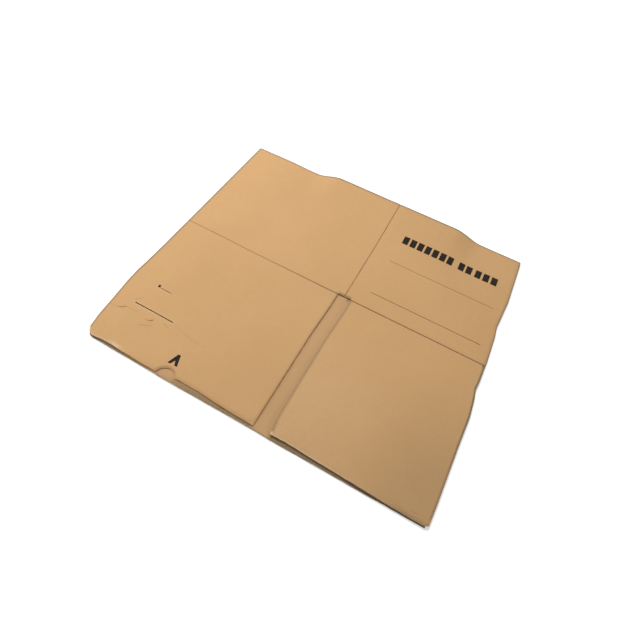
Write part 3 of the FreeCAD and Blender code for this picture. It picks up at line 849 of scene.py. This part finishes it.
def upper_low(x):
    """The upper layer's lower edge: corner, taper, notch, slot and clipped end."""
    low = np.full(len(x), OVERHANG)
    corner = (x >= FLAP_TAPER) & (x < FLAP_TAPER + CORNER)
    low[corner] = round_corner(x[corner], FLAP_TAPER, OVERHANG)
    taper = x < FLAP_TAPER
    low[taper] = OVERHANG + CORNER + TAPER_LENGTH * (1.0 - x[taper] / FLAP_TAPER)
    notch = np.abs(x - NOTCH_MIDDLE) < NOTCH_HALF
    low[notch] = NOTCH_Y + np.sqrt(NOTCH_RADIUS ** 2 - (x[notch] - NOTCH_MIDDLE) ** 2)
    clip = x > FLAP_END - CLIP_WIDTH
    low[clip] = OVERHANG + CLIP_HEIGHT * (x[clip] - FLAP_END + CLIP_WIDTH) / CLIP_WIDTH
    low[(x > SLOT_LEFT + ON_LINE) & (x < SLOT_RIGHT - ON_LINE)] = SLOT_END
    low[x > FLAP_END] = SCORE
    return low + 0.2 + 0.3 * soft_noise(x, 0.0, 9.0, 71)


def level_top(x):
    """The upper layer's straight top edge, a little inside its liners."""
    return np.full(len(x), TOP - 0.2)


def slit_box(slit):
    """A slit's left, right, low and high reach."""
    xs = [x for x, _ in slit]
    ys = [y for _, y in slit]
    return min(xs), max(xs), min(ys), max(ys)


hole_left, hole_right, hole_low, hole_high = slit_box(short_slit)
square_right = short_slit[3][0]
cut_high = short_slit[2][1]
long_left, long_right, long_low, long_high = slit_box(long_slit)
wave_columns = np.concatenate([
    np.arange(0.3, FOLD_X + FOLD_LENGTH, PITCH / 9),
    [long_left, long_right, hole_left, square_right, hole_right, SLOT_LEFT - 0.1, SLOT_LEFT + 0.02],
    [SLOT_RIGHT - 0.02, SLOT_RIGHT + 0.1, FOLD_X, FLAP_END - 0.1, FLAP_END + 0.02, FOLD_X + FOLD_LENGTH],
])
wave_columns = np.unique(np.round(wave_columns, 3))
wave_rows = np.concatenate([
    [0.0, 9.0, 22.0, 60.0, long_low, long_high, hole_low, cut_high, hole_high, 215.0, 282.0],
    [321.4, 322.0, 323.5, 325.0, 326.5, 380.0, 430.0, 452.0],
    np.arange(470.0, 607.0, 17.0),
    [630.0],
])
upper_holes = [(long_left, long_right, long_low, long_high), (hole_left, hole_right, hole_low, cut_high),
               (hole_left, square_right, hole_low, hole_high), (FOLD_X, FOLD_X + FOLD_LENGTH, 0, SCORE)]
fluted("upper_medium", wave_columns, wave_rows, upper_low, level_top, upper_holes,
       place_upper, upper_outer, upper_inner)


def lower_low(x):
    """The lower layer's lower edge: corner, lap and set-back end."""
    low = np.zeros(len(x))
    corner = (x >= LOWER_INSET) & (x < LOWER_INSET + CORNER)
    low[corner] = round_corner(x[corner], LOWER_INSET, 0.0)
    low[x < LOWER_INSET] = SCORE
    low[x < LAP_RADIUS] = SCORE + LAP_SETBACK
    lap = x < LAP_START
    low[lap] = SCORE + LAP_SETBACK + LAP_TAPER * (LAP_START - x[lap]) / (LAP_START - LAP_END)
    low[x > SHEET - LOWER_INSET] = SCORE
    return low + 0.2 + 0.3 * soft_noise(x, 0.0, 9.0, 81)


def lower_high(x):
    """The lower layer's top edge, which steps down and tapers along the lap."""
    high = np.full(len(x), TOP - 0.2)
    high[x < LAP_RADIUS] = TOP - LAP_SETBACK
    lap = x < LAP_START
    high[lap] = TOP - LAP_SETBACK - LAP_TAPER * (LAP_START - x[lap]) / (LAP_START - LAP_END)
    return high - 0.2


lower_columns = np.concatenate([
    np.arange(LAP_END + 0.1, FOLD_X, PITCH / 9),
    [LAP_RADIUS - 0.02, LAP_RADIUS, LOWER_INSET - 0.02, LOWER_INSET, SHORT_PANEL - LOWER_SLIT],
    [SHORT_PANEL + LOWER_SLIT, SHEET - LOWER_INSET, SHEET - LOWER_INSET + 0.02, FOLD_X],
])
lower_columns = np.unique(np.round(lower_columns, 3))
lower_rows = np.array([0.0, 3.0, 8.0, 22.0, 120.0, 220.0, 322.0, 323.5, 325.0, 326.0, 334.5, 350.0, 450.0,
                       550.0, 590.0, 612.0, 630.0])
lower_holes = [(SHORT_PANEL - LOWER_SLIT, SHORT_PANEL + LOWER_SLIT, 0, SLOT_END)]
fluted("lower_medium", lower_columns, lower_rows, lower_low, lower_high, lower_holes,
       place_lower, lower_outer, lower_inner)


def seen_by_eye(tree):
    """1 for camera, glossy and transmission rays, 0 for the rays that light the object."""
    path = tree.nodes.new("ShaderNodeLightPath")
    either = path.outputs["Is Camera Ray"]
    for key in ("Is Glossy Ray", "Is Transmission Ray"):
        node = tree.nodes.new("ShaderNodeMath")
        node.operation = "MAXIMUM"
        tree.links.new(either, node.inputs[0])
        tree.links.new(path.outputs[key], node.inputs[1])
        either = node.outputs[0]
    return either


FLOOR_HALF, FLOOR_Z = 6.0, -0.0004
FLOOR_GREY = (0.93, 0.93, 0.93, 1.0)
WHITE = (1.0, 1.0, 1.0, 1.0)


def mapped(tree, source, ranges, smooth=False):
    """A value taken from one range to another: from low and high, to low and high."""
    node = tree.nodes.new("ShaderNodeMapRange")
    if smooth:
        node.interpolation_type = "SMOOTHSTEP"
    tree.links.new(source, node.inputs["Value"])
    for key, number in zip(("From Min", "From Max", "To Min", "To Max"), ranges):
        node.inputs[key].default_value = number
    return node.outputs["Result"]


def combined(tree, kind, a, b):
    """Two values added or multiplied."""
    node = tree.nodes.new("ShaderNodeMath")
    node.operation = kind
    tree.links.new(a, node.inputs[0])
    tree.links.new(b, node.inputs[1])
    return node.outputs[0]


def floor_paint():
    """Pale paint whose glow, seen by the eye alone, turns the floor white where the light falls off."""
    material = bpy.data.materials.new("floor_white")
    material.use_nodes = True
    tree = material.node_tree
    shader = tree.nodes["Principled BSDF"]
    shader.inputs["Base Color"].default_value = FLOOR_GREY
    shader.inputs["Roughness"].default_value = 0.9
    shader.inputs["Emission Color"].default_value = WHITE
    place = tree.nodes.new("ShaderNodeTexCoord").outputs["Object"]
    away = tree.nodes.new("ShaderNodeVectorMath")
    away.operation = "DOT_PRODUCT"
    away.inputs[1].default_value = (0.8, -0.6, 0.0)
    tree.links.new(place, away.inputs[0])
    slope = mapped(tree, away.outputs["Value"], (-0.5, 0.7, 0.12, 0.45))
    far_away = tree.nodes.new("ShaderNodeVectorMath")
    far_away.operation = "LENGTH"
    tree.links.new(place, far_away.inputs[0])
    horizon = mapped(tree, far_away.outputs["Value"], (0.45, 1.5, 0.0, 1.0), smooth=True)
    brighter = combined(tree, "ADD", slope, horizon)
    glow = combined(tree, "MULTIPLY", brighter, seen_by_eye(tree))
    tree.links.new(glow, shader.inputs["Emission Strength"])
    return material


floor_mesh = bpy.data.meshes.new("floor")
floor_corners = [(x, y, FLOOR_Z) for x, y in rectangle(-FLOOR_HALF, FLOOR_HALF, -FLOOR_HALF, FLOOR_HALF)]
floor_mesh.from_pydata(floor_corners, [], [(0, 1, 2, 3)])
floor_mesh.materials.append(floor_paint())
floor = bpy.data.objects.new("floor", floor_mesh)
bpy.context.scene.collection.objects.link(floor)

# Light and background
world = bpy.data.worlds.new("studio")
world.use_nodes = True
bpy.context.scene.world = world
background = world.node_tree.nodes["Background"]
background.inputs["Color"].default_value = WHITE
SOFT_LIGHT, SEEN_WHITE = 0.33, 1.0
strength = mapped(world.node_tree, seen_by_eye(world.node_tree), (0.0, 1.0, SOFT_LIGHT, SEEN_WHITE))
world.node_tree.links.new(strength, background.inputs["Strength"])


def area_light(name, place, target, size, power):
    """A round soft lamp that points at a target."""
    data = bpy.data.lights.new(name, "AREA")
    data.shape = "DISK"
    data.size = size
    data.energy = power
    data.color = LAMP_COLOUR
    lamp = bpy.data.objects.new(name, data)
    lamp.location = place
    direction = Vector(target) - Vector(place)
    lamp.rotation_euler = direction.to_track_quat("-Z", "Y").to_euler()
    bpy.context.scene.collection.objects.link(lamp)


LAMP_COLOUR = (1.0, 0.985, 0.96)
area_light("key", (-0.55, 0.90, 1.75), (0.0, 0.0, 0.0), 0.4, 26.0)
area_light("side", (-0.95, -0.25, 0.70), (-0.1, -0.1, 0.0), 0.9, 4.2)

# Camera at the photograph's viewing angle
camera_data = bpy.data.cameras.new("photo_camera")
camera_data.sensor_width = 36.0
camera_data.lens = 23.442
camera = bpy.data.objects.new("photo_camera", camera_data)
camera.location = (0.16634, -0.46416, 0.71727)
camera.rotation_euler = (0.53394, -0.08919, 0.49019)
bpy.context.scene.collection.objects.link(camera)
bpy.context.scene.camera = camera
bpy.context.scene.view_settings.view_transform = "Standard"

bpy.context.view_layer.update()
